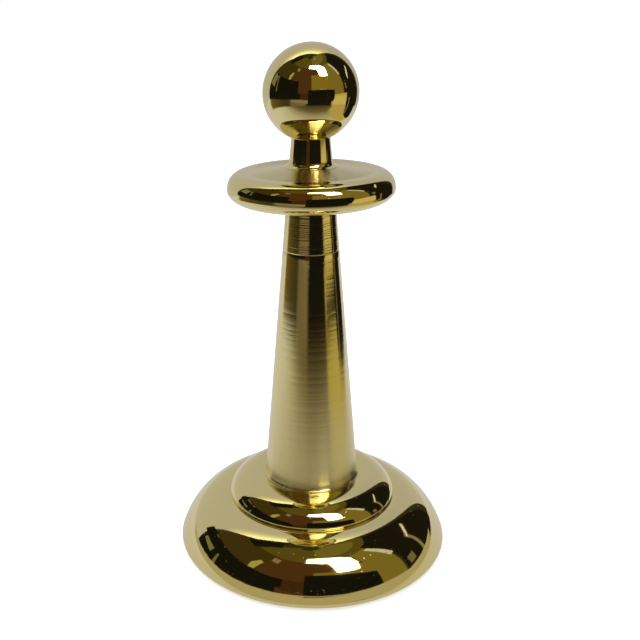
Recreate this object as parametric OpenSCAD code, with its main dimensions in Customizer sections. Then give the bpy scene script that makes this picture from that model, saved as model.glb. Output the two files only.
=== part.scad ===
// A turned brass game token: a ball on a short neck, a collar, a tapered stem, a step ring and a
// domed base. The pieces are stacked on a tie rod, and a nut under the base pulls them together.
// Millimetres, +Z up. The origin is the centre of the face that the token stands on.

/* [Ball] */
// Diameter of the ball
ball_d = 10.45; // [9:0.05:13]
// Length of rod that screws into the ball
ball_thread_l = 4.5; // [3:0.1:5.5]

/* [Neck] */
// Diameter of the neck where it meets the ball
neck_top_d = 4.3; // [3.6:0.1:5]
// Diameter of the neck's taper where it meets the collar
neck_foot_d = 4.75; // [4.2:0.05:6]
// Height of the neck
neck_h = 3.1; // [2:0.05:6]
// Radius of the fillet at the neck's foot
neck_fillet = 0.7; // [0.3:0.05:1.1]

/* [Collar] */
// Diameter of the collar
collar_d = 18.8; // [15:0.1:22]
// Thickness of the collar where its rounded edge ends
collar_h = 3.28; // [2.4:0.02:4]
// Height of the collar's widest line above its underside
collar_bulge_h = 1.26; // [0.9:0.02:1.8]
// How far the rounded edge reaches in over the top
collar_round_top = 2.14; // [1.2:0.02:2.8]
// Roundness of the edge above its widest line, where 2 is an ellipse and more is squarer
collar_full_top = 2.44; // [1.8:0.02:3]
// How far the rounded edge reaches in under the collar
collar_round_low = 1.6; // [0.8:0.05:2.4]
// Roundness of the edge below its widest line
collar_full_low = 1.72; // [1.5:0.02:2.4]
// How far the top rises from there to the neck
collar_rise = 0.5; // [0.1:0.05:0.8]

/* [Stem] */
// Length of the stem between the ring and the collar
stem_h = 34.3; // [24:0.1:44]
// Diameter of the stem under the collar
stem_top_d = 5.55; // [4.6:0.05:6.5]
// Diameter of the stem's taper at the ring
stem_foot_d = 11.4; // [9:0.05:13]
// How far the foot flares out beyond the taper
stem_flare = 0.24; // [0.1:0.02:0.5]
// Height of the flare
stem_flare_h = 1; // [0.6:0.1:2]
// Radius of the stem's lower edge
stem_edge = 0.06; // [0.04:0.01:0.2]

/* [Step ring] */
// Diameter of the step ring
ring_d = 20.55; // [19.5:0.05:24]
// Height of the step ring
ring_h = 2.62; // [2:0.02:3.2]
// Width of the ring's crown, from its level top to its widest line
ring_crown_w = 3.7; // [3.2:0.05:4.2]
// How far the crown leans back at its foot, where 0 is upright
ring_lean = 0.34; // [0.1:0.01:0.45]
// Radius of the rounded edge at the ring's foot
ring_edge = 0.28; // [0.1:0.02:0.4]

/* [Base] */
// Widest diameter of the base
base_d = 33.3; // [29:0.1:39]
// Height of the base from its rim to the ring
base_h = 6.25; // [5.75:0.05:8]
// How far the dome leans back at its foot, where 0 is upright
base_lean = 0.34; // [0.1:0.01:0.45]
// Radius of the rounded edge at the rim
base_edge = 0.56; // [0.3:0.02:1]
// Width of the flat brass rim round the felt
rim_w = 1.4; // [0.8:0.1:2.5]

/* [Felt pad] */
// Thickness of the felt
pad_t = 0.9; // [0.6:0.1:1.4]
// How far the felt stands out below the rim
pad_proud = 0.2; // [0.1:0.05:0.4]
// Thickness of the glue between felt and base
glue_t = 0.1; // [0.05:0.01:0.2]

/* [Spigots] */
// Diameter of the spigots that centre the collar
top_spigot_d = 3.6; // [3.1:0.1:4]
// Diameter of the stem's lower spigot, which centres the ring and the base
foot_spigot_d = 5.4; // [4:0.1:5.8]
// Depth of the spigot's seat in the base
foot_seat_h = 1.2; // [0.8:0.1:1.6]
// Radial gap between a spigot and its bore
spigot_gap = 0.04; // [0.02:0.01:0.08]
// Gap left at the end of a spigot
spigot_end_gap = 0.15; // [0.05:0.05:0.3]

/* [Tie rod and nut] */
// Diameter of the tie rod
rod_d = 2; // [1.6:0.1:2.4]
// Pitch of the rod's thread
thread_pitch = 0.4; // [0.3:0.05:0.5]
// Depth of the rod's thread
thread_depth = 0.2; // [0.1:0.02:0.25]
// Length of thread at the nut's end
nut_thread_l = 4.8; // [3.5:0.1:7]
// Radial gap between the rod and the bores that it passes
rod_gap = 0.1; // [0.05:0.01:0.2]
// Radial gap between the rod and a thread that holds it
thread_gap = 0.02; // [0.01:0.01:0.04]
// Length of rod that shows below the nut
rod_tail = 0.35; // [0.2:0.05:0.6]
// Distance across the nut's flats
nut_af = 4; // [3.6:0.1:4.4]
// Height of the nut
nut_h = 1.6; // [1.2:0.1:2]
// Diameter of the plain washer
washer_d = 5; // [4.4:0.1:5.4]
// Thickness of the plain washer
washer_t = 0.3; // [0.2:0.05:0.4]
// Diameter of the spring washer
spring_d = 4.4; // [4:0.1:4.8]
// Thickness of the spring washer
spring_t = 0.5; // [0.3:0.05:0.6]
// Width of the split in the spring washer
spring_split = 0.4; // [0.2:0.05:0.8]
// Radial room round the washer in the counterbore
counterbore_gap = 0.4; // [0.2:0.05:0.5]

/* [Hidden] */
$fn = 120;

polished_brass = [0.80, 0.70, 0.40];
satin_brass = [0.74, 0.68, 0.46];
steel = [0.62, 0.63, 0.65];
felt_green = [0.10, 0.22, 0.15];

// Steps of a curved stretch of an outline
curve_steps = 32;
// Every cut runs this far past the face that it leaves
overrun = 1;
// Chamfer at the end of a spigot and of the rod
end_chamfer = 0.15;
// Thin edge that a fillet ends in
fillet_edge = 0.02;
// Depth of the drill's cone past the ball's thread
drill_tip_h = 0.6;
// Room past the end of the rod in the ball
thread_runout = 0.5;
// Room between the rod's tail and the felt
tail_room = 0.35;
// Angle of the nut's chamfers
chamfer_angle = 30;
// Slant of the spring washer's split
split_slant = 25;
// Shares of the collar's thickness that its two spigots take
stem_spigot_share = 0.6;
neck_spigot_share = 0.25;

ball_r = ball_d / 2;
neck_top_r = neck_top_d / 2;
neck_foot_r = neck_foot_d / 2;
collar_r = collar_d / 2;
stem_top_r = stem_top_d / 2;
stem_foot_r = stem_foot_d / 2;
ring_r = ring_d / 2;
base_r = base_d / 2;
rod_r = rod_d / 2;
top_spigot_r = top_spigot_d / 2;
foot_spigot_r = foot_spigot_d / 2;
rod_bore_r = rod_r + rod_gap;
thread_bore_r = rod_r + thread_gap;
pad_r = base_r - base_edge - rim_w;
pad_recess_h = pad_t + glue_t - pad_proud;
neck_seat_r = neck_foot_r + neck_fillet;
counterbore_r = washer_d / 2 + counterbore_gap;
counterbore_h = washer_t + spring_t + nut_h + rod_tail + tail_room;

base_z = pad_proud;
ring_z = base_z + base_h;
stem_z = ring_z + ring_h;
collar_z = stem_z + stem_h;
neck_z = collar_z + collar_h + collar_rise;
ball_seat_z = neck_z + neck_h;
ball_z = ball_seat_z + sqrt(ball_r * ball_r - neck_top_r * neck_top_r);
washer_z = base_z + pad_recess_h + counterbore_h - washer_t;
spring_z = washer_z - spring_t;
nut_z = spring_z - nut_h;
rod_low_z = nut_z - rod_tail;
rod_top_z = ball_seat_z + ball_thread_l;

function signed_power(value, power) = sign(value) * pow(abs(value), power);

// Points of a curve with half axes a and b round [r, z], from one angle to another
function curve(r, z, a, b, from, to, fullness = 2) =
    [for (i = [0:curve_steps])
        let (t = from + (to - from) * i / curve_steps)
        [r + a * signed_power(cos(t), 2 / fullness), z + b * signed_power(sin(t), 2 / fullness)]];

// Outline of a crown of height h, from under its rounded foot edge up and in until it is level.
// lean is how far the wall leans back at its foot, where 0 is upright
function crown(wide_r, level_r, h, edge, lean) =
    let (tilt = atan(lean * (wide_r - level_r) / h),
         run = wide_r - edge + edge * cos(tilt) - level_r,
         rise = h - edge - edge * sin(tilt),
         share = tan(tilt) * rise / run,
         start = asin(share / (1 - share)),
         reach = rise / (1 - sin(start)))
    concat(curve(wide_r - edge, edge, edge, edge, -90, tilt),
           curve(level_r, h - reach, run / cos(start), reach, start, 90));

// Radius of the stem's taper at a height above the ring
function stem_r(h) = stem_foot_r + (stem_top_r - stem_foot_r) * h / stem_h;

// A solid turned from its outline, given as [radius, height]
module turned(outline) {
    rotate_extrude() polygon(outline);
}

module bore(r, low, high) {
    translate([0, 0, low]) cylinder(r = r, h = high - low);
}

module ball_head() {
    thread_end_z = ball_seat_z + ball_thread_l + thread_runout;
    color(polished_brass) difference() {
        translate([0, 0, ball_z]) sphere(r = ball_r);
        bore(ball_r, ball_z - ball_r - overrun, ball_seat_z);
        bore(thread_bore_r, ball_seat_z - overrun, thread_end_z);
        translate([0, 0, thread_end_z]) cylinder(r1 = thread_bore_r, r2 = 0, h = drill_tip_h);
    }
}

module neck() {
    spigot_l = collar_h * neck_spigot_share;
    color(polished_brass) translate([0, 0, neck_z]) turned(concat(
        [[rod_bore_r, -spigot_l], [top_spigot_r - end_chamfer, -spigot_l],
         [top_spigot_r, end_chamfer - spigot_l], [top_spigot_r, 0], [neck_seat_r, 0]],
        curve(neck_seat_r, neck_fillet + fillet_edge, neck_fillet, neck_fillet, 270, 180),
        [[neck_top_r, neck_h], [rod_bore_r, neck_h]]));
}

module collar() {
    bore_r = top_spigot_r + spigot_gap;
    upper_h = collar_h - collar_bulge_h;
    color(polished_brass) translate([0, 0, collar_z]) turned(concat(
        [[bore_r, 0]],
        curve(collar_r - collar_round_low, collar_bulge_h, collar_round_low, collar_bulge_h, -90, 0,
              collar_full_low),
        curve(collar_r - collar_round_top, collar_bulge_h, collar_round_top, upper_h, 0, 90, collar_full_top),
        [[neck_seat_r, collar_h + collar_rise], [bore_r, collar_h + collar_rise]]));
}

module stem() {
    foot_l = ring_h + foot_seat_h - spigot_end_gap;
    top_l = collar_h * stem_spigot_share;
    foot_r = stem_foot_r + stem_flare;
    flare_r = stem_r(stem_flare_h);
    color(satin_brass) translate([0, 0, stem_z]) turned(concat(
        [[rod_bore_r, -foot_l], [foot_spigot_r - end_chamfer, -foot_l],
         [foot_spigot_r, end_chamfer - foot_l], [foot_spigot_r, 0]],
        curve(foot_r - stem_edge, stem_edge, stem_edge, stem_edge, -90, 0),
        curve(foot_r, stem_flare_h, foot_r - flare_r, stem_flare_h - stem_edge, 270, 180),
        [[stem_top_r, stem_h], [top_spigot_r, stem_h], [top_spigot_r, stem_h + top_l - end_chamfer],
         [top_spigot_r - end_chamfer, stem_h + top_l], [rod_bore_r, stem_h + top_l]]));
}

module step_ring() {
    bore_r = foot_spigot_r + spigot_gap;
    color(polished_brass) translate([0, 0, ring_z]) turned(concat(
        [[bore_r, 0]],
        crown(ring_r, ring_r - ring_crown_w, ring_h, ring_edge, ring_lean),
        [[bore_r, ring_h]]));
}

module base() {
    seat_z = base_h - foot_seat_h;
    color(polished_brass) translate([0, 0, base_z]) difference() {
        turned(concat(
            [[0, 0]],
            crown(base_r, ring_r - ring_edge, base_h, base_edge, base_lean),
            [[0, base_h]]));
        bore(pad_r + spigot_gap, -overrun, pad_recess_h);
        bore(counterbore_r, -overrun, pad_recess_h + counterbore_h);
        bore(rod_bore_r, -overrun, base_h + overrun);
        bore(foot_spigot_r + spigot_gap, seat_z, base_h + overrun);
    }
}

module felt_pad() {
    color(felt_green) cylinder(r = pad_r, h = pad_t);
}

module tie_rod() {
    core_r = rod_r - thread_depth;
    nut_turns = floor((nut_thread_l - end_chamfer) / thread_pitch);
    ball_turns = floor((ball_thread_l - end_chamfer) / thread_pitch);
    nut_thread_z = rod_low_z + end_chamfer;
    ball_thread_z = rod_top_z - end_chamfer - ball_turns * thread_pitch;
    function thread(z, turns) = [for (i = [0:turns - 1], step = [0, 1])
        [step == 0 ? rod_r : core_r, z + (i + step / 2) * thread_pitch]];
    color(steel) turned(concat(
        [[0, rod_low_z], [rod_r - end_chamfer, rod_low_z]],
        thread(nut_thread_z, nut_turns), [[rod_r, nut_thread_z + nut_turns * thread_pitch]],
        thread(ball_thread_z, ball_turns), [[rod_r, rod_top_z - end_chamfer]],
        [[rod_r - end_chamfer, rod_top_z], [0, rod_top_z]]));
}

module plain_washer() {
    color(steel) difference() {
        bore(washer_d / 2, washer_z, washer_z + washer_t);
        bore(rod_bore_r, washer_z - overrun, washer_z + washer_t + overrun);
    }
}

module spring_washer() {
    reach = spring_d / 2;
    color(steel) difference() {
        bore(reach, spring_z, spring_z + spring_t);
        bore(rod_bore_r, spring_z - overrun, spring_z + spring_t + overrun);
        translate([0, 0, spring_z + spring_t / 2]) rotate([split_slant, 0, 0])
            translate([0, -spring_split / 2, -overrun]) cube([reach + overrun, spring_split, 2 * overrun]);
    }
}

module hex_nut() {
    corner_r = nut_af / 2 / cos(30);
    chamfer_w = corner_r - nut_af / 2;
    chamfer_h = chamfer_w * tan(chamfer_angle);
    color(steel) translate([0, 0, nut_z]) difference() {
        intersection() {
            cylinder(r = corner_r, h = nut_h, $fn = 6);
            turned([[0, 0], [nut_af / 2, 0], [corner_r, chamfer_h], [corner_r, nut_h - chamfer_h],
                    [nut_af / 2, nut_h], [0, nut_h]]);
        }
        bore(thread_bore_r, -overrun, nut_h + overrun);
    }
}

ball_head();
neck();
collar();
stem();
step_ring();
base();
felt_pad();
tie_rod();
plain_washer();
spring_washer();
hex_nut();
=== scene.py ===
"""Looks of the turned brass game token: fine lathe meshes, brass and felt, a plain studio and the camera."""
import math
import random

import bmesh
import bpy
from mathutils import Matrix, Vector, noise
from mathutils.geometry import delaunay_2d_cdt


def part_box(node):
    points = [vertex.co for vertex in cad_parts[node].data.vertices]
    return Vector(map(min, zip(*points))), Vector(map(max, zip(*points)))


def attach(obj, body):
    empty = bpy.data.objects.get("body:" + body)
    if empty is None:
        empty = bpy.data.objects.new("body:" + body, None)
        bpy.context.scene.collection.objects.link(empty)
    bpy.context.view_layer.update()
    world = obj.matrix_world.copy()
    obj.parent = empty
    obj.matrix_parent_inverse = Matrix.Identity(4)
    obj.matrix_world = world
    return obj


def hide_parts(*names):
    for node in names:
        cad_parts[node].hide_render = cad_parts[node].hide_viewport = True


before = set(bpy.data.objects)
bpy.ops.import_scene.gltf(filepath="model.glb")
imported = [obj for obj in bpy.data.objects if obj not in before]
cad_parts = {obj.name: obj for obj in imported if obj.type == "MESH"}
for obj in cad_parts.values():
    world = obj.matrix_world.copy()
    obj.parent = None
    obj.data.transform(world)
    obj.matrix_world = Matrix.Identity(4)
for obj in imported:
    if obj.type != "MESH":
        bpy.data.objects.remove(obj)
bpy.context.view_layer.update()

MM = 0.001

# How finely the pieces are turned
AROUND = 256
FELT_AROUND = 240
CURVE_STEPS = 72
FILLET_STEPS = 36
FLARE_STEPS = 24
EDGE_STEPS = 24
FINE_EDGE_STEPS = 12
FELT_EDGE_STEPS = 6
FELT_RINGS = 40
SHARP_ANGLE = 30

# Nearer than this, in millimetres, two points are one and a point is on the axis
SAME_POINT = 1e-4
ON_AXIS = 1e-6

# Sizes in millimetres that the frame's boxes don't give
BALL_R = 5.225
NECK_TOP_R = 2.15
NECK_FOOT_R = 2.375
NECK_FILLET = 0.7
NECK_EDGE = 0.02
COLLAR_BULGE_H = 1.26
COLLAR_ROUND_TOP = 2.14
COLLAR_FULL_TOP = 2.44
COLLAR_ROUND_LOW = 1.6
COLLAR_FULL_LOW = 1.72
COLLAR_RISE = 0.5
STEM_TOP_R = 2.775
STEM_FOOT_R = 5.7
STEM_FLARE = 0.24
STEM_FLARE_H = 1.0
STEM_EDGE = 0.06
RING_CROWN_W = 3.7
RING_LEAN = 0.34
RING_EDGE = 0.28
BASE_LEAN = 0.34
BASE_EDGE = 0.56
TOP_SPIGOT_R = 1.8
FOOT_SPIGOT_R = 2.7
FOOT_SEAT_H = 1.2
SPIGOT_GAP = 0.04
ROD_BORE_R = 1.1
COUNTERBORE_R = 2.9
COUNTERBORE_H = 3.1
PAD_RECESS_H = 0.8

# The felt's pressed edge and its nap, in millimetres
FELT_ROUND = 0.16
FELT_BEVEL = 0.05
NAP_BELOW = 0.2
NAP_DEPTH = 0.03
NAP_PER_MM = 2.2
NAP_FRACTAL = (1.0, 2.0, 3)

# The lathe's grooves on the stem, in millimetres: a coarse set under the collar, one scribed line below it,
# a fine set further down and one line above the foot. A pair is the least and the most of a random choice
GROOVE_SEED = 7
COARSE_DOWN = 0.12
COARSE_END = 5.4
COARSE_DEPTH = (0.0025, 0.009)
COARSE_HALF = (0.05, 0.09)
COARSE_STEP = (0.16, 0.34)
SCRIBED_DOWN = 5.65
SCRIBED_DEPTH = 0.014
SCRIBED_HALF = 0.05
FINE_END = 0.4
FINE_DEPTH = (0.0008, 0.0022)
FINE_HALF = (0.05, 0.1)
FINE_STEP = (0.35, 1.3)
FOOT_LINE_UP = 8.6
FOOT_LINE_DEPTH = 0.008
FOOT_LINE_HALF = 0.07
PLAIN_FOOT = 0.2
PLAIN_TOP = 0.1

# Across a groove: how far from its middle, and how deep there
GROOVE_SHARES = ((-1, 0), (-0.5, 0.5), (0, 1), (0.5, 0.5), (1, 0))


def box_mm(node):
    """Radius, lowest and highest point of a turned CAD node, in millimetres."""
    low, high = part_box(node)
    return max(high.x, high.y) / MM, low.z / MM, high.z / MM


def curve(r, z, a, b, start, end, fullness=2.0, steps=CURVE_STEPS):
    """Points of a curve with half axes a and b round (r, z), from one angle to another."""
    points = []
    for i in range(steps + 1):
        t = math.radians(start + (end - start) * i / steps)
        c, s = math.cos(t), math.sin(t)
        points.append((r + a * math.copysign(abs(c) ** (2 / fullness), c),
                       z + b * math.copysign(abs(s) ** (2 / fullness), s)))
    return points


def apart(outline):
    """The outline without its repeated points."""
    points = [outline[0]]
    for p in outline[1:]:
        if math.dist(p, points[-1]) > SAME_POINT:
            points.append(p)
    if math.dist(points[0], points[-1]) < SAME_POINT:
        points.pop()
    return points


def turned(name, outline, segments=AROUND):
    """A closed mesh turned about Z from an outline of (radius, height) in millimetres."""
    turn = [2 * math.pi * k / segments for k in range(segments)]
    bm = bmesh.new()
    rings = []
    for r, z in apart(outline):
        if r < ON_AXIS:
            rings.append([bm.verts.new((0, 0, z * MM))])
        else:
            rings.append([bm.verts.new((r * MM * math.cos(t), r * MM * math.sin(t), z * MM)) for t in turn])
    for here, there in zip(rings, rings[1:] + rings[:1]):
        if len(here) == 1 and len(there) == 1:
            continue
        for k in range(segments):
            n = (k + 1) % segments
            if len(here) == 1:
                bm.faces.new((here[0], there[n], there[k]))
            elif len(there) == 1:
                bm.faces.new((here[k], here[n], there[0]))
            else:
                bm.faces.new((here[k], here[n], there[n], there[k]))
    bmesh.ops.recalc_face_normals(bm, faces=bm.faces)
    mesh = bpy.data.meshes.new(name)
    bm.to_mesh(mesh)
    bm.free()
    mesh.shade_smooth()
    mesh.set_sharp_from_angle(angle=math.radians(SHARP_ANGLE))
    piece = bpy.data.objects.new(name, mesh)
    bpy.context.scene.collection.objects.link(piece)
    return piece


def dress(piece, node, material):
    """The piece stands for a CAD node and rides on the token."""
    piece.data.materials.append(material)
    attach(piece, "root")
    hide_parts(node)


def colour(r, g, b):
    return (r, g, b, 1.0)


class Nodes:
    """Short calls for building a node tree."""

    def __init__(self, tree):
        self.tree = tree
        tree.nodes.clear()

    def add(self, kind, inputs=None, **settings):
        """A new node. An input is a value, or the socket that feeds it."""
        node = self.tree.nodes.new(kind)
        for key, value in settings.items():
            setattr(node, key, value)
        for key, value in (inputs or {}).items():
            socket = node.inputs[key]
            if isinstance(value, bpy.types.NodeSocket):
                self.tree.links.new(value, socket)
            else:
                socket.default_value = value
        return node

    def math(self, operation, a, b=0.0):
        return self.add("ShaderNodeMath", {0: a, 1: b}, operation=operation).outputs[0]

    def length(self, a, b):
        """How long the way is that goes a in one direction and b across it."""
        return self.math("SQRT", self.math("ADD", self.math("MULTIPLY", a, a), self.math("MULTIPLY", b, b)))

    def ramp(self, value, low, high, to_low=0.0, to_high=1.0):
        """The value's place between low and high, taken over to another range."""
        return self.add("ShaderNodeMapRange", {0: value, 1: low, 2: high, 3: to_low, 4: to_high}).outputs[0]

    def shades(self, value, stops):
        """Colours by value, from [(position, (r, g, b))]."""
        node = self.add("ShaderNodeValToRGB", {"Fac": value})
        elements = node.color_ramp.elements
        while len(elements) < len(stops):
            elements.new(1.0)
        for element, (at, rgb) in zip(elements, stops):
            element.position = at
            element.color = colour(*rgb)
        return node.outputs["Color"]

    def mix(self, factor, a, b):
        """Colour a where the factor is 0, colour b where it is 1."""
        node = self.add("ShaderNodeMix", {"Factor": factor, "A": a, "B": b}, data_type="RGBA")
        return node.outputs["Result"]

    def object_place(self):
        return self.add("ShaderNodeTexCoord").outputs["Object"]

    def world_place(self):
        """X, Y and Z of the spot in the scene."""
        place = self.add("ShaderNodeNewGeometry").outputs["Position"]
        parts = self.add("ShaderNodeSeparateXYZ", {"Vector": place})
        return [parts.outputs[axis] for axis in "XYZ"]

    def texture(self, where, scale, detail, roughness=0.5, distortion=0.0):
        """Noise, with its scale per metre."""
        return self.add("ShaderNodeTexNoise", {
            "Vector": where, "Scale": scale, "Detail": detail, "Roughness": roughness,
            "Distortion": distortion}).outputs["Fac"]

    def bump(self, height, strength, distance, over=None):
        """The normal of a bump, which lies over another normal where one is given."""
        node = self.add("ShaderNodeBump", {"Strength": strength, "Distance": distance, "Height": height})
        if over:
            self.tree.links.new(over, node.inputs["Normal"])
        return node.outputs["Normal"]

    def by_ray(self, plain, glossy):
        """One shader for the camera and the light, another one for what the metal mirrors."""
        path = self.add("ShaderNodeLightPath")
        return self.add("ShaderNodeMixShader", {
            0: path.outputs["Is Glossy Ray"], 1: plain.outputs[0], 2: glossy.outputs[0]})

    def surface(self, shader):
        self.add("ShaderNodeOutputMaterial", {"Surface": shader.outputs[0]})


def new_material(name):
    """A material and the short calls for its empty tree."""
    material = bpy.data.materials.new(name)
    material.use_nodes = True
    return material, Nodes(material.node_tree)


# Colours and roughness of the finishes. A pair of roughnesses is for the clearest and the dullest spots.
# ACROSS_MARKS is the share of a turn by which reflections smear away from the marks' own direction
BRASS = colour(0.86, 0.755, 0.345)
ACROSS_MARKS = 0.25
POLISHED_ROUGH = (0.035, 0.07)
NECK_STREAK = 0.015
FELT_DARK = colour(0.010, 0.030, 0.018)
FELT_LIGHT = colour(0.030, 0.085, 0.050)
FELT_ROUGH = 0.95
FELT_SHEEN = 0.4
ZINC = colour(0.55, 0.56, 0.58)
ZINC_ROUGH = (0.22, 0.4)

# The stem's roughness, as (share of the way up, roughness) between two heights in metres
SATIN_HEIGHTS = (0.009, 0.0435)
SATIN_ROUGH_SHARES = ((0.0, 0.25), (0.25, 0.18), (0.45, 0.095), (0.65, 0.042), (1.0, 0.03))

# Noises: scale per metre (for the marks, per mark), detail, roughness and distortion
WAVES = (900.0, 3.0, 0.6)
CLOUDS = (260.0, 4.0, 0.6)
PITS = (3600.0, 1.0)
MARKS = (1.0, 3.0, 0.7)
NAP = (2500.0, 5.0, 0.7)
FIBRES = (6000.0, 4.0, 0.5, 1.5)
ZINC_CLOUDS = (1500.0, 3.0)

# The levels of a noise between which a pit deepens or a cloud thickens
PIT_LEVELS = (0.745, 0.82)
CLOUD_LEVELS = (0.35, 0.75)
ZINC_LEVELS = (0.3, 0.7)

# Bumps: how strongly they show, and how deep they are in metres
WAVE_BUMP = (0.05, 0.00002)
PIT_BUMP = (0.3, 0.00003)
FIBRE_BUMP = (0.7, 0.00008)
POLISHED_MARK_BUMP = (0.05, 0.00002)
SATIN_MARK_BUMP = (0.25, 0.00002)

# How many marks there are in a millimetre, and how often one changes along its way round
POLISHED_MARKS_PER_MM = 6.0
POLISHED_BROKEN = 1.2
SATIN_MARKS_PER_MM = 7.0
SATIN_BROKEN = 22.0

# The stronger marks on the collar's top: where they lie and fade, in millimetres, and how much rougher it is
COLLAR_MARKS_R = 7.3
COLLAR_MARKS_UP = 3.1
COLLAR_MARKS_FADE = 0.4
COLLAR_MARKS_FADE_UP = 0.1
COLLAR_MARKS_ROUGH = 0.2


def round_marks(n, where, per_mm, broken, bump):
    """Distance from the axis, height, and the normal of fine lathe marks round the axis."""
    place = n.add("ShaderNodeSeparateXYZ", {"Vector": where})
    x, y, z = (place.outputs[axis] for axis in "XYZ")
    out = n.length(x, y)
    around = n.math("ARCTAN2", y, x)
    grain = n.add("ShaderNodeCombineXYZ", {
        "X": n.math("MULTIPLY", out, per_mm / MM), "Y": n.math("MULTIPLY", z, per_mm / MM),
        "Z": n.math("MULTIPLY", around, broken)})
    return out, z, n.bump(n.texture(grain.outputs["Vector"], *MARKS), *bump)


def brass_surface(n, rough, smear, normal):
    """Ends a brass material. smear is how far its marks stretch reflections, from 0 to 1."""
    around = n.add("ShaderNodeTangent", direction_type="RADIAL", axis="Z")
    n.surface(n.add("ShaderNodeBsdfPrincipled", {
        "Base Color": BRASS, "Metallic": 1.0, "Roughness": rough, "Anisotropic": smear,
        "Anisotropic Rotation": ACROSS_MARKS, "Normal": normal, "Tangent": around.outputs["Tangent"]}))


def polished_brass(name, streak=0.0, top_r=0.0, top_z=0.0):
    """Mirror brass with faint polishing waves, small pits and duller clouds.

    streak is how far the lathe's marks smear reflections across themselves. Within top_r of the axis and
    above top_z, in millimetres, the marks are left stronger.
    """
    material, n = new_material(name)
    where = n.object_place()
    out, z, normal = round_marks(n, where, POLISHED_MARKS_PER_MM, POLISHED_BROKEN, POLISHED_MARK_BUMP)
    normal = n.bump(n.texture(where, *WAVES), *WAVE_BUMP, over=normal)
    pits = n.ramp(n.texture(where, *PITS), *PIT_LEVELS, 1.0, 0.0)
    normal = n.bump(pits, *PIT_BUMP, over=normal)
    clear, dull = POLISHED_ROUGH
    rough = n.ramp(n.texture(where, *CLOUDS), *CLOUD_LEVELS, clear + streak, dull + streak)
    smear = 1.0 if streak else 0.0
    if top_r:
        inside = n.ramp(out, top_r * MM, (top_r - COLLAR_MARKS_FADE) * MM)
        above = n.ramp(z, top_z * MM, (top_z + COLLAR_MARKS_FADE_UP) * MM)
        smear = n.math("MULTIPLY", inside, above)
        rough = n.math("ADD", rough, n.math("MULTIPLY", smear, COLLAR_MARKS_ROUGH))
    brass_surface(n, rough, smear, normal)
    return material


def satin_brass(name):
    """Brass left from the lathe: fine rings round the stem, glossy above and satin towards the foot."""
    material, n = new_material(name)
    _, z, normal = round_marks(n, n.object_place(), SATIN_MARKS_PER_MM, SATIN_BROKEN, SATIN_MARK_BUMP)
    greys = [(share, (value, value, value)) for share, value in SATIN_ROUGH_SHARES]
    rough = n.shades(n.ramp(z, *SATIN_HEIGHTS), greys)
    brass_surface(n, rough, 1.0, normal)
    return material


def felt(name):
    """Dark green felt with a short nap and fibres."""
    material, n = new_material(name)
    where = n.object_place()
    shade = n.mix(n.texture(where, *NAP), FELT_DARK, FELT_LIGHT)
    fibres = n.bump(n.texture(where, *FIBRES), *FIBRE_BUMP)
    n.surface(n.add("ShaderNodeBsdfPrincipled", {
        "Base Color": shade, "Roughness": FELT_ROUGH, "Sheen Weight": FELT_SHEEN, "Normal": fibres}))
    return material


def steel(name):
    """Bright zinc plated steel, a little cloudy."""
    material, n = new_material(name)
    rough = n.ramp(n.texture(n.object_place(), *ZINC_CLOUDS), *ZINC_LEVELS, *ZINC_ROUGH)
    n.surface(n.add("ShaderNodeBsdfPrincipled", {"Base Color": ZINC, "Metallic": 1.0, "Roughness": rough}))
    return material


def build_ball(material):
    _, seat_z, _ = box_mm("ball_head")
    middle_z = seat_z + math.sqrt(BALL_R ** 2 - NECK_TOP_R ** 2)
    low = -math.degrees(math.acos(NECK_TOP_R / BALL_R))
    outline = [(0, seat_z)] + curve(0, middle_z, BALL_R, BALL_R, low, 90, steps=2 * CURVE_STEPS)
    dress(turned("ball", outline), "ball_head", material)


def build_neck(material):
    _, low, top = box_mm("neck")
    _, _, foot = box_mm("collar")
    seat_r = NECK_FOOT_R + NECK_FILLET
    outline = [(ROD_BORE_R, low), (TOP_SPIGOT_R, low), (TOP_SPIGOT_R, foot), (seat_r, foot)]
    fillet_z = foot + NECK_FILLET + NECK_EDGE
    outline += curve(seat_r, fillet_z, NECK_FILLET, NECK_FILLET, 270, 180, steps=FILLET_STEPS)
    outline += [(NECK_TOP_R, top), (ROD_BORE_R, top)]
    dress(turned("neck_spool", outline), "neck", material)


def build_collar(material):
    r, low, top = box_mm("collar")
    bulge_z = low + COLLAR_BULGE_H
    edge_h = top - COLLAR_RISE - bulge_z
    bore_r = TOP_SPIGOT_R + SPIGOT_GAP
    low_r, top_r = r - COLLAR_ROUND_LOW, r - COLLAR_ROUND_TOP
    outline = [(bore_r, low)]
    outline += curve(low_r, bulge_z, COLLAR_ROUND_LOW, COLLAR_BULGE_H, -90, 0, COLLAR_FULL_LOW)
    outline += curve(top_r, bulge_z, COLLAR_ROUND_TOP, edge_h, 0, 90, COLLAR_FULL_TOP)
    outline += [(NECK_FOOT_R + NECK_FILLET, top), (bore_r, top)]
    dress(turned("collar_disc", outline), "collar", material)


def stem_grooves(low, high):
    """The grooves between two heights, as [(height, depth, half width)] from the lowest up."""
    pick = random.Random(GROOVE_SEED)
    grooves = []
    z = high - COARSE_DOWN
    while z > high - COARSE_END:
        grooves.append((z, pick.uniform(*COARSE_DEPTH), pick.uniform(*COARSE_HALF)))
        z -= pick.uniform(*COARSE_STEP)
    grooves.append((high - SCRIBED_DOWN, SCRIBED_DEPTH, SCRIBED_HALF))
    while z > low + FINE_END:
        z -= pick.uniform(*FINE_STEP)
        grooves.append((z, pick.uniform(*FINE_DEPTH), pick.uniform(*FINE_HALF)))
    grooves.append((low + FOOT_LINE_UP, FOOT_LINE_DEPTH, FOOT_LINE_HALF))
    return sorted(g for g in grooves if low + PLAIN_FOOT < g[0] < high - PLAIN_TOP)


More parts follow.
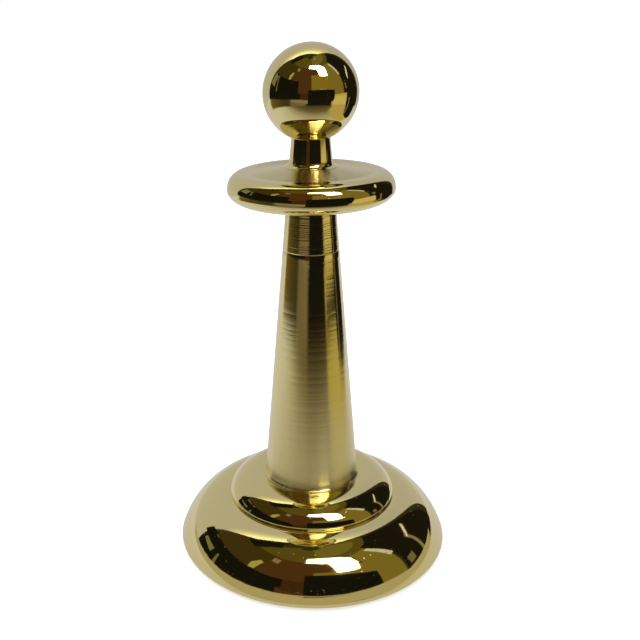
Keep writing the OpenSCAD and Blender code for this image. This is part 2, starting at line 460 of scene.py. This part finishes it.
def turning_lines(low_r, low, high_r, high):
    """The taper's side from the foot up, with the tool's shallow grooves, where none overlaps the last."""
    points = []
    for z, depth, half in stem_grooves(low, high):
        if points and z - half <= points[-1][1]:
            continue
        for way, deep in GROOVE_SHARES:
            level = z + way * half
            r = low_r + (high_r - low_r) * (level - low) / (high - low)
            points.append((r - depth * deep, level))
    return points


def build_stem(material):
    _, low, high = box_mm("stem")
    _, _, foot = box_mm("step_ring")
    _, top, _ = box_mm("collar")
    flare_r = STEM_FOOT_R + (STEM_TOP_R - STEM_FOOT_R) * STEM_FLARE_H / (top - foot)
    flare_z = foot + STEM_FLARE_H
    foot_r = STEM_FOOT_R + STEM_FLARE
    outline = [(ROD_BORE_R, low), (FOOT_SPIGOT_R, low), (FOOT_SPIGOT_R, foot)]
    edge_r, edge_z = foot_r - STEM_EDGE, foot + STEM_EDGE
    outline += curve(edge_r, edge_z, STEM_EDGE, STEM_EDGE, -90, 0, steps=FINE_EDGE_STEPS)
    flare_w, flare_h = foot_r - flare_r, STEM_FLARE_H - STEM_EDGE
    outline += curve(foot_r, flare_z, flare_w, flare_h, 270, 180, steps=FLARE_STEPS)
    outline += turning_lines(flare_r, flare_z, STEM_TOP_R, top)
    outline += [(STEM_TOP_R, top), (TOP_SPIGOT_R, top), (TOP_SPIGOT_R, high), (ROD_BORE_R, high)]
    dress(turned("stem_taper", outline), "stem", material)


def crown(wide_r, level_r, low, high, edge, lean):
    """Outline from under a rounded foot edge, up a wall that leans back, to where the top is level."""
    tilt = math.atan(lean * (wide_r - level_r) / (high - low))
    run = wide_r - edge + edge * math.cos(tilt) - level_r
    rise = high - low - edge - edge * math.sin(tilt)
    share = math.tan(tilt) * rise / run
    start = math.asin(share / (1 - share))
    reach = rise / (1 - math.sin(start))
    points = curve(wide_r - edge, low + edge, edge, edge, -90, math.degrees(tilt), steps=EDGE_STEPS)
    return points + curve(level_r, high - reach, run / math.cos(start), reach, math.degrees(start), 90)


def build_ring(material):
    r, low, top = box_mm("step_ring")
    bore_r = FOOT_SPIGOT_R + SPIGOT_GAP
    outline = [(bore_r, low)] + crown(r, r - RING_CROWN_W, low, top, RING_EDGE, RING_LEAN) + [(bore_r, top)]
    dress(turned("ring_step", outline), "step_ring", material)


def build_base(material):
    r, low, top = box_mm("base")
    ring_r, _, _ = box_mm("step_ring")
    pad_r, _, _ = box_mm("felt_pad")
    recess = low + PAD_RECESS_H
    recess_r = pad_r + SPIGOT_GAP
    seat_r = FOOT_SPIGOT_R + SPIGOT_GAP
    outline = [(ROD_BORE_R, recess + COUNTERBORE_H), (COUNTERBORE_R, recess + COUNTERBORE_H),
               (COUNTERBORE_R, recess), (recess_r, recess), (recess_r, low)]
    outline += crown(r, ring_r - RING_EDGE, low, top, BASE_EDGE, BASE_LEAN)
    outline += [(seat_r, top), (seat_r, top - FOOT_SEAT_H), (ROD_BORE_R, top - FOOT_SEAT_H)]
    dress(turned("base_dome", outline), "base", material)


def build_felt(material):
    """The felt disc under the base: a napped underside, a soft pressed edge and a flat glued face."""
    r, low, top = box_mm("felt_pad")
    outline = [(r * k / FELT_RINGS, low) for k in range(FELT_RINGS - 1)]
    outline += curve(r - FELT_ROUND, low + FELT_ROUND, FELT_ROUND, FELT_ROUND, -90, 0, steps=FELT_EDGE_STEPS)
    outline += [(r, top - FELT_BEVEL), (r - FELT_BEVEL, top), (0, top)]
    piece = turned("felt_disc", outline, FELT_AROUND)
    for vertex in piece.data.vertices:
        spot = vertex.co / MM
        if spot.z < low + NAP_BELOW:
            nap = noise.fractal(Vector((spot.x * NAP_PER_MM, spot.y * NAP_PER_MM, 0)), *NAP_FRACTAL)
            vertex.co.z += MM * NAP_DEPTH * (0.5 + 0.5 * max(-1.0, min(1.0, nap)))
    dress(piece, "felt_pad", material)


def finish_hardware():
    """The rod, the nut and the washers keep their CAD meshes and get the look of zinc plated steel."""
    zinc = steel("zinc_steel")
    for node in ("tie_rod", "plain_washer", "spring_washer", "hex_nut"):
        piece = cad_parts[node]
        piece.data.materials.clear()
        piece.data.materials.append(zinc)


# Plain colours of the studio
WHITE = (1.0, 1.0, 1.0)
BLACK = (0.008, 0.008, 0.006)
DARK = (0.010, 0.009, 0.006)
BROWN = (0.075, 0.035, 0.012)
OLIVE = (0.05, 0.038, 0.009)
GOLD = (0.20, 0.165, 0.035)
SURROUND = (0.035, 0.028, 0.014)

# The studio is what the metal mirrors. Azimuths there are in degrees from the front, and rise towards +X
TONE_GREEN = 0.954
TONE_BLUE = 1.04


def tone(rgb):
    """A studio colour as the brass should mirror it."""
    r, g, b = rgb
    return r, g * TONE_GREEN, b * TONE_BLUE


def toned(stops):
    """The same for each colour of [(position, (r, g, b))]."""
    return [(at, tone(rgb)) for at, rgb in stops]


def glow(name, rgb, strength, one_sided=False):
    """A plain emitter for the studio's cards. A one-sided card isn't seen from behind."""
    material, n = new_material(name)
    shader = n.add("ShaderNodeEmission", {"Color": colour(*tone(rgb)), "Strength": strength})
    if one_sided:
        clear = n.add("ShaderNodeBsdfTransparent")
        behind = n.add("ShaderNodeNewGeometry").outputs["Backfacing"]
        shader = n.add("ShaderNodeMixShader", {0: behind, 1: shader.outputs[0], 2: clear.outputs[0]})
    n.surface(shader)
    return material


def add_card(name, points, faces, material):
    """Puts a card into the scene that only reflections see."""
    mesh = bpy.data.meshes.new(name)
    mesh.from_pydata(points, [], faces)
    mesh.materials.append(material)
    plane = bpy.data.objects.new(name, mesh)
    bpy.context.scene.collection.objects.link(plane)
    plane.visible_camera = False
    plane.visible_diffuse = False
    plane.visible_shadow = False


def card(name, centre, right, up, material):
    """A flat card. right and up are its half sides, in metres."""
    centre, right, up = Vector(centre), Vector(right), Vector(up)
    corners = [centre - right - up, centre + right - up, centre + right + up, centre - right + up]
    add_card(name, corners, [(0, 1, 2, 3)], material)


def strip(name, stations, rgb, one_sided=False):
    """A bent card round the token, from stations of (azimuth, first r, first z, second r, second z), in mm.

    A one-sided strip whose first r is the smaller one is seen from above, and otherwise from below.
    """
    points = []
    for azimuth, r0, z0, r1, z1 in stations:
        a = math.radians(azimuth)
        for r, z in ((r0, z0), (r1, z1)):
            points.append((r * MM * math.sin(a), -r * MM * math.cos(a), z * MM))
    faces = [(2 * k, 2 * k + 1, 2 * k + 3, 2 * k + 2) for k in range(len(stations) - 1)]
    add_card(name, points, faces, glow(name, rgb, 1.0, one_sided))


def upright(a0, a1, r, low, high, step=6):
    """Stations of a strip that stands upright at one distance."""
    count = max(1, round((a1 - a0) / step))
    return [(a0 + (a1 - a0) * k / count, r, low, r, high) for k in range(count + 1)]


def high_bow(azimuth, low, high, eye=55.0, near=58.0):
    """A station at 45 degrees, seen by the ball between two elevations and from behind by the base."""
    low, high = math.tan(math.radians(low)), math.tan(math.radians(high))
    far = near * (1 - low) / (1 - high)
    return azimuth, near, eye + near * low, far, eye + far * high


def low_bow(azimuth, low, high, eye_r=12.0, eye=5.0, level=38.0):
    """A level station, seen by the base between two elevations and from behind by the ball."""
    far, near = (eye_r + (level - eye) / math.tan(math.radians(e)) for e in (low, high))
    return azimuth, far, level, near, level


# Far cards are cut into pieces of about these many degrees, so that they bend round the token. Nearer than
# SAME_DIRECTION, in degrees, two directions are one. FAR_EYE_Z is the height they start from, in metres
OUTLINE_STEP = 5
GRID_STEP = 8
SAME_DIRECTION = 1e-4
FAR_EYE_Z = 0.03


def far_card(name, corners, rgb, distance, strength=1.0):
    """A card a good way off, by the directions of its corners (azimuth, elevation), in degrees."""
    outline = []
    for (a0, e0), (a1, e1) in zip(corners, corners[1:] + corners[:1]):
        steps = max(1, round(math.dist((a0, e0), (a1, e1)) / OUTLINE_STEP))
        outline += [Vector((a0 + (a1 - a0) * k / steps, e0 + (e1 - e0) * k / steps)) for k in range(steps)]
    wide = [p.x for p in outline]
    high = [p.y for p in outline]
    grid = [Vector((a, e))
            for a in range(math.ceil(min(wide)), math.floor(max(wide)) + 1, GRID_STEP)
            for e in range(math.ceil(min(high)), math.floor(max(high)) + 1, GRID_STEP)]
    border = list(range(len(outline)))
    directions, _, faces, *_ = delaunay_2d_cdt(outline + grid, [], [border], 1, SAME_DIRECTION)
    points = []
    for direction in directions:
        a, e = math.radians(direction.x), math.radians(direction.y)
        points.append((distance * math.sin(a) * math.cos(e), -distance * math.cos(a) * math.cos(e),
                       FAR_EYE_Z + distance * math.sin(e)))
    add_card(name, points, faces, glow(name, rgb, strength))


def block(a0, a1, e0, e1):
    """Corners of a far card that runs straight in azimuth and elevation."""
    return [(a0, e0), (a1, e0), (a1, e1), (a0, e1)]


# The white sheet under and behind the token, in metres from its axis
SHEET_BACK = 0.15
SHEET_LEFT = 0.35
SHEET_RIGHT = 0.13
SHEET_HIGH = 0.73
SHEET_SOFT = 0.003

# The sheet as the metal mirrors it: by the way towards the front, in metres, it gets darker, a painted shade
# of what stands in front of the token
FRONT_X = 0.208
FRONT_Y = 0.978
FRONT_FROM = -0.02
FRONT_TO = 0.14
FRONT_PAINTED_SHADE = ((0.0, (0.64, 0.66, 0.70)), (0.27, (0.54, 0.54, 0.49)), (0.42, (0.36, 0.35, 0.27)),
                (0.56, (0.17, 0.14, 0.08)), (0.72, (0.10, 0.08, 0.042)), (1.0, (0.05, 0.04, 0.02)))

# A warm patch on it, in metres, and its soft edge in shares of its half width
PATCH_X = 0.088
PATCH_Y = -0.012
PATCH_HALF_X = 0.042
PATCH_HALF_Y = 0.055
PATCH_EDGE_SHARES = (1.15, 0.85)
PATCH = colour(0.475, 0.40, 0.14)

# Past its edges, in metres: where the soft left edge lies, and where the olive past it turns dark
LEFT_EDGE_X = (-0.145, -0.165)
LEFT_EDGE_Y = (0.08, 0.05)
OLIVE_FADE_Y = (0.0, -0.06)
PAST_LEFT = colour(0.13, 0.10, 0.022)
PAST_LEFT_FRONT = colour(0.045, 0.036, 0.012)
PAST_RIGHT = colour(0.016, 0.012, 0.007)

# The darker ground in front, partly painted shade of what stands in front of the token, black ahead: its
# shades by azimuth, how far off it starts, in metres, and between which azimuths it comes to start farther
# off, begins at the left and ends at the right
TURN_MOST = 120
GROUND_AND_PAINTED_SHADE = (
    (-112, (0.16, 0.13, 0.03)), (-90, (0.10, 0.08, 0.02)), (-70, (0.06, 0.05, 0.018)),
    (-53, (0.05, 0.042, 0.02)), (-46, (0.16, 0.135, 0.08)), (-16, (0.19, 0.16, 0.095)),
    (-8, (0.012, 0.010, 0.006)), (48, (0.012, 0.010, 0.006)),
    (53, (0.48, 0.41, 0.15)), (92, (0.48, 0.41, 0.15)))
GROUND_FROM = (0.118, 0.19)
GROUND_FARTHER = (50, 56)
GROUND_LEFT = (-114, -108)
GROUND_RIGHT = (95, 91)
GROUND_SOFT = 0.018

# To the camera: how light the floor is, and how much its own glow lifts the shadow
FLOOR_HALF = 3.0
FLOOR_LIT = 0.8
FLOOR_LIFT = 0.45


def sheet_colour(n, x, y):
    """The sheet on the floor as the metal mirrors it, with painted shade towards the front, olive past its
    left edge and dark past its right.
    """
    ahead = n.math("SUBTRACT", n.math("MULTIPLY", x, FRONT_X), n.math("MULTIPLY", y, FRONT_Y))
    # Painted shade: the mirrored sheet darkens towards the front
    dim = n.shades(n.ramp(ahead, FRONT_FROM, FRONT_TO), toned(FRONT_PAINTED_SHADE))
    off = n.length(n.math("DIVIDE", n.math("SUBTRACT", x, PATCH_X), PATCH_HALF_X),
                   n.math("DIVIDE", n.math("SUBTRACT", y, PATCH_Y), PATCH_HALF_Y))
    warm = n.mix(n.ramp(off, *PATCH_EDGE_SHARES), dim, PATCH)
    past_left = n.math("MULTIPLY", n.ramp(x, *LEFT_EDGE_X), n.ramp(y, *LEFT_EDGE_Y))
    olive = n.mix(n.ramp(y, *OLIVE_FADE_Y), PAST_LEFT, PAST_LEFT_FRONT)
    in_right = n.ramp(x, SHEET_RIGHT + SHEET_SOFT, SHEET_RIGHT - SHEET_SOFT)
    return n.mix(in_right, PAST_RIGHT, n.mix(past_left, warm, olive))


def ground_colour(n, x, y):
    """The ground in front as the metal mirrors it, partly painted shade, and where it is seen, from 0 to 1.
    """
    turn = n.math("MULTIPLY", n.math("ARCTAN2", x, n.math("MULTIPLY", y, -1.0)), 180 / math.pi)
    stops = [((azimuth + TURN_MOST) / (2 * TURN_MOST), rgb) for azimuth, rgb in GROUND_AND_PAINTED_SHADE]
    # Painted shade in front of the token, black ahead, mixed into the ground's colours by azimuth
    shade = n.shades(n.ramp(turn, -TURN_MOST, TURN_MOST), toned(stops))
    start = n.ramp(turn, *GROUND_FARTHER, *GROUND_FROM)
    past = n.ramp(n.math("SUBTRACT", n.length(x, y), start), 0.0, GROUND_SOFT)
    in_front = n.math("MULTIPLY", n.ramp(turn, *GROUND_LEFT), n.ramp(turn, *GROUND_RIGHT))
    return shade, n.math("MULTIPLY", past, in_front)


def floor_finish():
    """Close to white with a soft shadow, to the camera. The metal mirrors a sheet on a darker ground, with
    painted shade in front.
    """
    material, n = new_material("floor")
    x, y, _ = n.world_place()
    ground, on_ground = ground_colour(n, x, y)
    mirrored = n.add("ShaderNodeEmission", {
        "Color": n.mix(on_ground, sheet_colour(n, x, y), ground), "Strength": 1.0})
    lit = n.add("ShaderNodeBsdfDiffuse", {"Color": colour(FLOOR_LIT, FLOOR_LIT, FLOOR_LIT)})
    lift = n.add("ShaderNodeEmission", {"Color": colour(*WHITE), "Strength": FLOOR_LIFT})
    seen = n.add("ShaderNodeAddShader", {0: lit.outputs[0], 1: lift.outputs[0]})
    n.surface(n.by_ray(seen, mirrored))
    return material


def build_floor():
    """The pale floor that the token stands on."""
    h = FLOOR_HALF
    mesh = bpy.data.meshes.new("floor")
    mesh.from_pydata([(-h, -h, 0), (h, -h, 0), (h, h, 0), (-h, h, 0)], [], [(0, 1, 2, 3)])
    mesh.materials.append(floor_finish())
    floor = bpy.data.objects.new("floor", mesh)
    bpy.context.scene.collection.objects.link(floor)


def build_world():
    """White all round, and a dim warm shade where the metal mirrors no card."""
    world = bpy.data.worlds.new("studio")
    bpy.context.scene.world = world
    world.use_nodes = True
    n = Nodes(world.node_tree)
    white = n.add("ShaderNodeBackground", {"Color": colour(*WHITE), "Strength": 1.0})
    dim = n.add("ShaderNodeBackground", {"Color": colour(*SURROUND), "Strength": 1.0})
    n.add("ShaderNodeOutputWorld", {"Surface": n.by_ray(white, dim).outputs[0]})


# The camera, from the photograph's perspective: metres, and angles in radians. The picture is a crop, so its
# centre is off the lens's axis
CAMERA_AT = Vector((0, -0.10073, 0.06538))
CAMERA_DOWN = 0.3734
CAMERA_ASIDE = -0.0725
CAMERA_ROLL = -0.0279
CAMERA_SENSOR = 36.0
CAMERA_LENS = 50.855
CAMERA_SHIFT = (0.1094, 0.0391)
CAMERA_CLIP = 0.01


def build_camera():
    """The camera, which looks down at the token."""
    camera = bpy.data.objects.new("camera", bpy.data.cameras.new("camera"))
    bpy.context.scene.collection.objects.link(camera)
    bpy.context.scene.camera = camera
    camera.data.sensor_width = CAMERA_SENSOR
    camera.data.lens = CAMERA_LENS
    camera.data.shift_x, camera.data.shift_y = CAMERA_SHIFT
    camera.data.clip_start = CAMERA_CLIP
    ahead = Vector((math.sin(CAMERA_ASIDE) * math.cos(CAMERA_DOWN),
                    math.cos(CAMERA_ASIDE) * math.cos(CAMERA_DOWN), -math.sin(CAMERA_DOWN)))
    right = ahead.cross(Vector((0, 0, 1))).normalized()
    up = right.cross(ahead)
    c, s = math.cos(CAMERA_ROLL), math.sin(CAMERA_ROLL)
    turn = Matrix((right * c + up * s, up * c - right * s, -ahead)).transposed()
    camera.location = CAMERA_AT
    camera.rotation_mode = "QUATERNION"
    camera.rotation_quaternion = turn.to_quaternion()


# Painted light on the sheet behind the token: shades by share of this height in metres, left and right of
# these places
SWEEP_SHADES_H = 0.6
SWEEP_SIDES_X = (-0.12, 0.08)
SWEEP_LEFT_PAINTED_LIGHT = ((0.0, (0.54, 0.56, 0.56)), (0.1, (0.52, 0.53, 0.52)), (0.5, (0.50, 0.51, 0.50)),
                     (0.68, (0.76, 0.77, 0.62)), (0.85, (1.15, 1.18, 0.76)), (1.0, (1.35, 1.4, 0.9)))
SWEEP_RIGHT_PAINTED_LIGHT = ((0.0, (0.54, 0.56, 0.56)), (0.1, (0.49, 0.50, 0.51)), (0.35, (0.46, 0.47, 0.50)),
                      (0.6, (0.66, 0.68, 0.62)), (0.82, (1.15, 1.18, 0.76)), (1.0, (1.35, 1.4, 0.9)))


def painted_light_sheet():
    """The white sheet behind the token, with painted light: brighter towards the top and the left, cream at
    the very top.
    """
    material, n = new_material("sweep")
    x, _, z = n.world_place()
    height = n.ramp(z, 0.0, SWEEP_SHADES_H)
    left = n.shades(height, toned(SWEEP_LEFT_PAINTED_LIGHT))
    right = n.shades(height, toned(SWEEP_RIGHT_PAINTED_LIGHT))
    shade = n.mix(n.ramp(x, *SWEEP_SIDES_X), left, right)
    n.surface(n.add("ShaderNodeEmission", {"Color": shade, "Strength": 1.0}))
    return material


# The black drum beside the token, in metres
DRUM_X = 0.107
DRUM_Y = 0.0421
DRUM_R = 0.0384
DRUM_H = 0.16
DRUM_STEP = 10

# The low pale band, which the base and the ring see from below, in mm: azimuth and how near it comes there,
# its far end, and the heights of its two edges
LOW_BAND_NEAR = (
    (-122, 800), (-110, 340), (-100, 240), (-90, 200), (-80, 172), (-70, 148), (-62, 134), (-50, 115),
    (-40, 105), (-25, 96), (-10, 92), (0, 91), (15, 91), (30, 95), (45, 104), (62, 122), (72, 150),
    (80, 200), (90, 300), (110, 800))
LOW_BAND_FAR = 2400
LOW_BAND_FAR_Z = 0.4
LOW_BAND_NEAR_Z = 18.6


# The strip under it, which the base's rim sees from below, in mm: how far off and how near its edges are,
# left and right of an azimuth, and how high they are
LOW_EDGE_TURN = 46
LOW_EDGE_LEFT = (118, 60)
LOW_EDGE_RIGHT = (76, 50)
LOW_EDGE_FAR_Z = 0.2
LOW_EDGE_NEAR_Z = 5.0


def low_band(azimuth, near):
    return azimuth, LOW_BAND_FAR, LOW_BAND_FAR_Z, near, LOW_BAND_NEAR_Z


def low_edge(azimuth):
    far, near = LOW_EDGE_LEFT if azimuth < LOW_EDGE_TURN else LOW_EDGE_RIGHT
    return azimuth, far, LOW_EDGE_FAR_Z, near, LOW_EDGE_NEAR_Z


def build_near_cards():
    """The cards close round the token."""
    half_w = (SHEET_LEFT + SHEET_RIGHT) / 2
    middle_x = (SHEET_RIGHT - SHEET_LEFT) / 2
    half_h = SHEET_HIGH / 2
    card("sweep", (middle_x, SHEET_BACK, half_h), (half_w, 0, 0), (0, 0, half_h), painted_light_sheet())
    card("black_flag", (0.061, -0.091, 0.0465), (0.071, 0.005, 0.002), (0, 0, 0.028),
         glow("black_flag", BLACK, 1.0))
    card("flag_edge", (0.050, -0.0915, 0.0765), (0.014, 0.001, 0.0004), (0, 0, 0.0012),
         glow("flag_edge", (0.45, 0.40, 0.22), 1.0))
    rising = [(52, 62, 34, 67, 36), (57, 58, 33, 105, 45.4), (73, 60, 33, 108, 46), (90, 62, 33, 110, 46)]
    strip("yellow_card", rising, (0.60, 0.52, 0.24), one_sided=True)
    falling = [(azimuth, 19.2, 39.6, 190, 0.3) for azimuth in range(56, 93, 6)]
    strip("gold_fall", [(50.5, 31.3, 36.9, 190, 0.3)] + falling, (0.48, 0.39, 0.156), one_sided=True)
    strip("left_flag", upright(-112, -24, 114, 36, 62), BLACK)
    strip("brown_flag", upright(-24, -5, 114, 30, 62), (0.05, 0.024, 0.009))
    strip("low_top", [(-46, 86, 33, 112, 36), (-25, 84, 30, 112, 35), (-7, 84, 27, 112, 33)],
          (0.25, 0.21, 0.14), one_sided=True)
    strip("low_band", [low_band(*place) for place in LOW_BAND_NEAR], (0.45, 0.41, 0.265), one_sided=True)
    strip("low_edge", [low_edge(azimuth) for azimuth in range(-118, 113, 5)], (0.44, 0.41, 0.28),
          one_sided=True)


def build_drum():
    """A black drum with a gleam down its side, and two bows of light over it."""
    turn = [math.radians(k) for k in range(0, 361, DRUM_STEP)]
    points = [(DRUM_X + DRUM_R * math.cos(t), DRUM_Y + DRUM_R * math.sin(t), z)
              for t in turn for z in (0, DRUM_H)]
    faces = [(2 * k, 2 * k + 2, 2 * k + 3, 2 * k + 1) for k in range(len(turn) - 1)]
    add_card("black_drum", points, faces, glow("black_drum", (0.012, 0.010, 0.007), 1.0))
    strip("drum_gleam", [(99, 74, 4, 72, 44), (101.5, 71, 4, 69, 44)], (0.26, 0.22, 0.13))
    bow = [(102, 17, 21), (105, 20, 25.5), (110, 24, 28.5), (115, 27, 30.5), (120, 29.5, 32)]
    strip("bow_high", [high_bow(*station) for station in bow], (0.72, 0.70, 0.62), one_sided=True)
    bow = [(99, 27, 30), (102, 31, 36), (106, 36, 40.5), (110, 40, 43.5), (113, 43, 46)]
    strip("bow_low", [low_bow(*station) for station in bow], (0.80, 0.79, 0.72), one_sided=True)


# Distances of the far cards, in metres. Where two overlap, the nearer one is seen
WALL_FAR = 3.0
WALL_NEARER = 2.91
WALL_LEFT_TOP = 2.82
RIGHT_FAR = 2.6
PATCH_RIGHT_FAR = 2.5
PATCH_FAR = 2.4
LIGHT_FAR = 2.2
LIGHT_STRENGTH = 7.0


def build_far_cards():
    """The large cards all round and overhead, and the lights and light patches before them."""
    far_card("ceiling", block(-95, 135, 61, 85), (0.10, 0.082, 0.015), distance=WALL_FAR)
    far_card("ceiling_right", block(10, 130, 69, 86), (0.165, 0.14, 0.03), distance=WALL_NEARER)
    far_card("ceiling_left", block(-130, -86, 57, 76), DARK, distance=WALL_LEFT_TOP)
    far_card("wall_left", block(-115, -50, 28, 61), OLIVE, distance=WALL_FAR)
    far_card("wall_low", block(-114, -30, -2, 30), BLACK, distance=WALL_NEARER)
    far_card("wall_front", block(-50, 4, 0, 61), BROWN, distance=WALL_FAR)
    far_card("wall_olive", block(2, 56, 8, 44), (0.22, 0.165, 0.026), distance=WALL_NEARER)
    far_card("wall_brown", block(2, 56, 44, 61), (0.07, 0.038, 0.008), distance=WALL_NEARER)
    far_card("wall_gold", block(54, 84, 0, 61), GOLD, distance=WALL_FAR)
    far_card("window", [(-7, 60), (-6, 67), (10, 68), (30, 67), (44, 64), (53, 58), (53, 50), (49, 39),
                        (38, 40), (26, 42), (25, 50), (22, 58), (5, 60)],
             WHITE, distance=LIGHT_FAR, strength=LIGHT_STRENGTH)
    far_card("streak_right", [(77, 58), (84, 58), (87, 33), (82, 32)], (0.60, 0.62, 0.60),
             distance=LIGHT_FAR)
    far_card("dark_right", block(86, 134, -2, 63), DARK, distance=RIGHT_FAR)
    far_card("patch_right", block(90, 101, 6, 15), (0.18, 0.15, 0.08), distance=PATCH_RIGHT_FAR)
    far_card("panel_left", [(-111, 12), (-97, 10), (-95, 27), (-108, 29)], (0.20, 0.20, 0.09),
             distance=PATCH_FAR)
    far_card("strip_left", [(-91, 0), (-87, 0), (-88, 18), (-91, 30), (-94, 28), (-90, 16)],
             (0.16, 0.16, 0.10), distance=PATCH_FAR)
    far_card("patch_left", [(-61, 30), (-55, 31), (-52, 45), (-57, 46), (-62, 38)], (0.40, 0.38, 0.13),
             distance=PATCH_FAR)
    far_card("patch_high", [(-48, 52), (-39, 50), (-38, 57), (-49, 58)], (0.25, 0.20, 0.13),
             distance=PATCH_FAR)


LAMP_AT = Vector((-0.1, 0, 0.6))
LAMP_SIZE = 0.5
LAMP_POWER = 1.2


def build_lamp():
    """A soft lamp above, for the floor's shadow. The metal doesn't mirror it."""
    lamp = bpy.data.lights.new("softbox", "AREA")
    lamp.shape = "DISK"
    lamp.size = LAMP_SIZE
    lamp.energy = LAMP_POWER
    softbox = bpy.data.objects.new("softbox", lamp)
    softbox.location = LAMP_AT
    softbox.rotation_euler = LAMP_AT.to_track_quat("Z", "Y").to_euler()
    softbox.visible_glossy = False
    bpy.context.scene.collection.objects.link(softbox)


bpy.context.scene.view_settings.view_transform = "Standard"

_, collar_low, _ = box_mm("collar")
polished = polished_brass("polished_brass")
build_ball(polished)
build_neck(polished_brass("neck_brass", streak=NECK_STREAK))
build_collar(polished_brass("collar_brass", top_r=COLLAR_MARKS_R, top_z=collar_low + COLLAR_MARKS_UP))
build_stem(satin_brass("satin_brass"))
build_ring(polished)
build_base(polished)
build_felt(felt("felt"))
finish_hardware()

build_floor()
build_world()
build_camera()
build_near_cards()
build_drum()
build_far_cards()
build_lamp()
